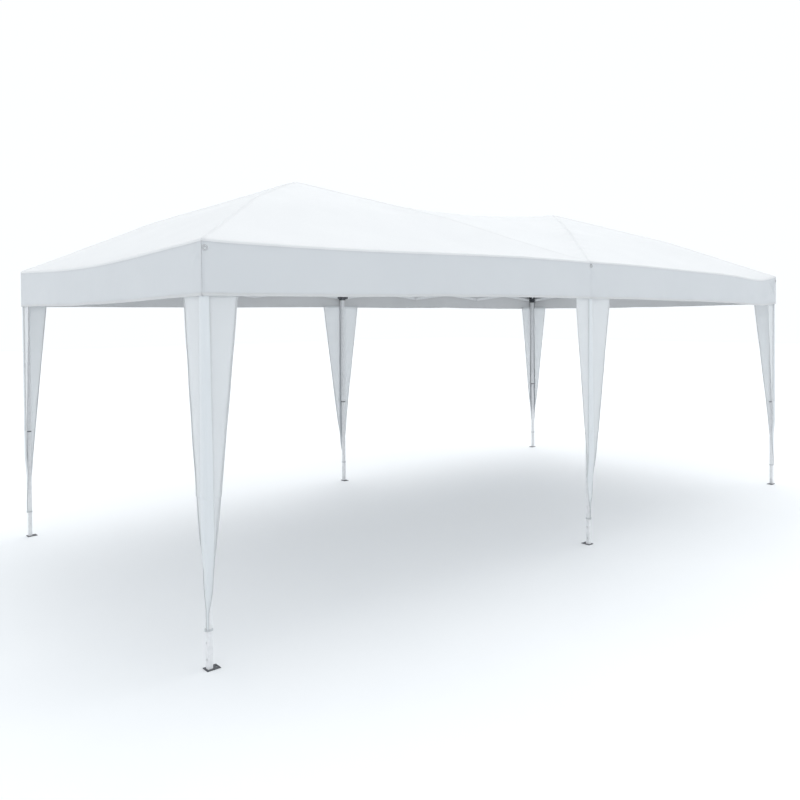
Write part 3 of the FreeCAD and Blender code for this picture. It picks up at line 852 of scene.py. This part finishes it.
def build_grommets():
    profile = []
    for k in range(16):
        angle = 2 * math.pi * k / 16
        middle, half = (EYELET_RING + EYELET_HOLE) / 2, (EYELET_RING - EYELET_HOLE) / 2
        bulge = math.copysign(abs(math.sin(angle)) ** 0.8, math.sin(angle))
        profile.append((middle + half * math.cos(angle), EYELET_THICK / 2 * bulge))
    for leg, (sx, sy) in LEGS.items():
        x = sx * (HX - GROMMET_IN)
        rise = 0.0 if sx else MIDDLE_RISE[("front", "back")[sy > 0]] + 0.008
        centre = (x, sy * (HY + EYELET_OUT), EAVE + rise - GROMMET_BELOW)
        piece = lathe(f"grommet_{leg}", profile, centre, (0, sy, 0), 32, EYELET)
        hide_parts("grommets")
        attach(piece, f"leg_{leg}")


def rounded_loop(half, corner, steps):
    """A square outline with round corners, as (x, y) places."""
    places = []
    for quarter in range(4):
        first = math.pi / 2 * quarter
        cx, cy = [(1, 1), (-1, 1), (-1, -1), (1, -1)][quarter]
        for k in range(steps + 1):
            angle = first + math.pi / 2 * k / steps
            x = cx * (half - corner) + corner * math.cos(angle)
            y = cy * (half - corner) + corner * math.sin(angle)
            places.append((x, y))
    return places


TIE_Z = SKIRT_TIP + 0.006
TIE_HALF, CLIP_HALF = 0.0145, 0.0075
# The strap's section, as (out, up), and the clip's layers, as (out, size).
TIE_SECTION = (
    (0.0, -0.006), (0.0012, -0.0055), (0.0014, 0.0),
    (0.0012, 0.0055), (0.0, 0.006), (-0.0006, 0.0),
)
CLIP_LAYERS = ((0.0, 0.92), (0.0035, 1.0), (0.0050, 0.94), (0.0056, 0.70))
CLIP_PLANE = 0.0155  # the leg's axis to the clip's back


def build_ties():
    """A strap round each lower leg that holds the skirt's tip, with a small moulded clip on it."""
    for leg, (sx, sy) in LEGS.items():
        axis_x, axis_y = sx * LEG_X, sy * LEG_Y
        outline = rounded_loop(TIE_HALF, 0.004, 4)
        points, faces = [], []
        n = len(outline)
        for out, up in TIE_SECTION:
            for x, y in outline:
                wider = 1 + out / math.hypot(x, y)
                points.append((axis_x + x * wider, axis_y + y * wider, TIE_Z + up))
        for b in range(len(TIE_SECTION)):
            c = (b + 1) % len(TIE_SECTION)
            for i in range(n):
                j = (i + 1) % n
                faces.append((b * n + i, b * n + j, c * n + j, c * n + i))
        strap = make_piece(f"tie_{leg}", points, faces, SKIRT_CLOTH)
        gather_with_leg(strap, leg)
        out_x, out_y = (sx, 0) if sx else (0, sy)
        clip = rounded_loop(CLIP_HALF, 0.0025, 3)
        points, faces = [], []
        for reach, size in CLIP_LAYERS:
            for a, b in clip:
                across = a * size * 0.75
                x = axis_x + out_x * (CLIP_PLANE + reach) + (0 if out_x else across)
                y = axis_y + out_y * (CLIP_PLANE + reach) + (across if out_x else 0)
                points.append((x, y, TIE_Z + b * size))
        n = len(clip)
        for b in range(len(CLIP_LAYERS) - 1):
            for i in range(n):
                j = (i + 1) % n
                faces.append((b * n + i, b * n + j, (b + 1) * n + j, (b + 1) * n + i))
        faces.append(tuple(range(n))[::-1])
        faces.append(tuple((len(CLIP_LAYERS) - 1) * n + i for i in range(n)))
        piece = make_piece(f"clip_{leg}", points, faces, PALE_PLASTIC)
        gather_with_leg(piece, leg)


BUSH_HALF, BUSH_BORE, BUSH_HEIGHT = 0.0158, 0.0129, 0.009


def build_tube_ends():
    """The dark bush under each upper tube's lower end, round the tube that slides in it."""
    outline, bore = rounded_loop(BUSH_HALF, 0.0025, 3), rounded_loop(BUSH_BORE, 0.0010, 3)
    for leg, (sx, sy) in LEGS.items():
        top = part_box(f"leg_{leg}_upper")[0].z - 0.0002
        low = top - BUSH_HEIGHT
        rings = ((outline, top), (outline, low), (bore, low), (bore, top))
        points = [(sx * LEG_X + x, sy * LEG_Y + y, z) for ring, z in rings for x, y in ring]
        n = len(outline)
        faces = []
        for b in range(4):
            c = (b + 1) % 4
            for i in range(n):
                j = (i + 1) % n
                faces.append((b * n + j, b * n + i, c * n + i, c * n + j))
        piece = make_piece(f"tube_end_{leg}", points, faces, DARK_PLASTIC)
        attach(piece, f"leg_{leg}")


# ---------------------------------------------------------------- peak frames
def islands(mesh):
    """The face indices of each separate shell. Vertices that share a place count as joined."""
    parent = list(range(len(mesh.vertices)))

    def find(i):
        while parent[i] != i:
            parent[i] = parent[parent[i]]
            i = parent[i]
        return i

    same = {}
    for v in mesh.vertices:
        key = tuple(round(c, 5) for c in v.co)
        parent[find(v.index)] = find(same.setdefault(key, v.index))
    for polygon in mesh.polygons:
        first = polygon.vertices[0]
        for other in polygon.vertices[1:]:
            parent[find(other)] = find(first)
    groups = {}
    for polygon in mesh.polygons:
        groups.setdefault(find(polygon.vertices[0]), []).append(polygon.index)
    return list(groups.values())


def build_peak_frame(side):
    """The hub, and the rafters and struts of each quarter, taken from the CAD's own shape."""
    node = f"peak_frame_{side}"
    mesh = NODES[node].data
    sign = -1 if side == "left" else 1
    parts = {}
    for members in islands(mesh):
        corners = [mesh.vertices[v].co for f in members for v in mesh.polygons[f].vertices]
        corners = np.array(corners, float)
        middle = (corners.min(0) + corners.max(0)) / 2
        at_hub = math.hypot(middle[0] - sign * HUB_X, middle[1]) < 0.05
        key = "hub" if at_hub else ("front", "back")[int(middle[1] > 0)]
        parts.setdefault(key, []).extend(members)
    for key, members in parts.items():
        used = sorted({v for f in members for v in mesh.polygons[f].vertices})
        place = {v: i for i, v in enumerate(used)}
        name = f"hub_{side}" if key == "hub" else f"rafters_{key}_{side}"
        points = [tuple(mesh.vertices[v].co) for v in used]
        faces = [[place[v] for v in mesh.polygons[f].vertices] for f in members]
        piece = make_piece(name, points, faces, DARK_PLASTIC if key == "hub" else STEEL)
        shading = [mesh.polygons[f].use_smooth for f in members]
        piece.data.polygons.foreach_set("use_smooth", shading)
        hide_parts(node)
        with_quarter(piece, sign, 1 if key == "back" else -1)


# ---------------------------------------------------------------- materials of the CAD's own pieces
BRACKET_HEIGHT = 0.076
TUBE_FACE = 0.0153  # just outside an upper tube's faces
SOLE = 0.0045  # just above a foot plate


def paint_cad():
    for name, node in NODES.items():
        mesh = node.data
        mesh.materials.clear()
        if name.startswith("slider"):
            mesh.materials.append(DARK_PLASTIC)
        elif name.endswith("_upper"):
            for material in (STEEL, PALE_PLASTIC):
                mesh.materials.append(material)
            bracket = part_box(name)[1].z - BRACKET_HEIGHT
            for polygon in mesh.polygons:
                r = max(abs(polygon.center.x - round(polygon.center.x / LEG_X) * LEG_X),
                        abs(abs(polygon.center.y) - LEG_Y))
                polygon.material_index = int(polygon.center.z > bracket and r > TUBE_FACE)
        elif name.endswith("_lower"):
            for material in (STEEL, DARK_FOOT_STEEL):
                mesh.materials.append(material)
            for polygon in mesh.polygons:
                polygon.material_index = int(polygon.center.z < SOLE)
        else:
            mesh.materials.append(STEEL)
        if name.startswith("truss"):
            mesh.materials.append(PIN_STEEL)


FLOOR = 40  # half its width


def make_floor():
    points = [(-FLOOR, -FLOOR, 0), (FLOOR, -FLOOR, 0), (FLOOR, FLOOR, 0), (-FLOOR, FLOOR, 0)]
    floor = make_piece("floor", points, [(0, 1, 2, 3)], floor_material())
    floor.location.z = -0.0006


make_camera()
make_light()
make_floor()
build_roof()
for side_name in SIDES:
    build_valance(side_name)
for leg_name in LEGS:
    build_skirt(leg_name)
build_grommets()
build_ties()
build_tube_ends()
build_peak_frame("left")
build_peak_frame("right")
paint_cad()
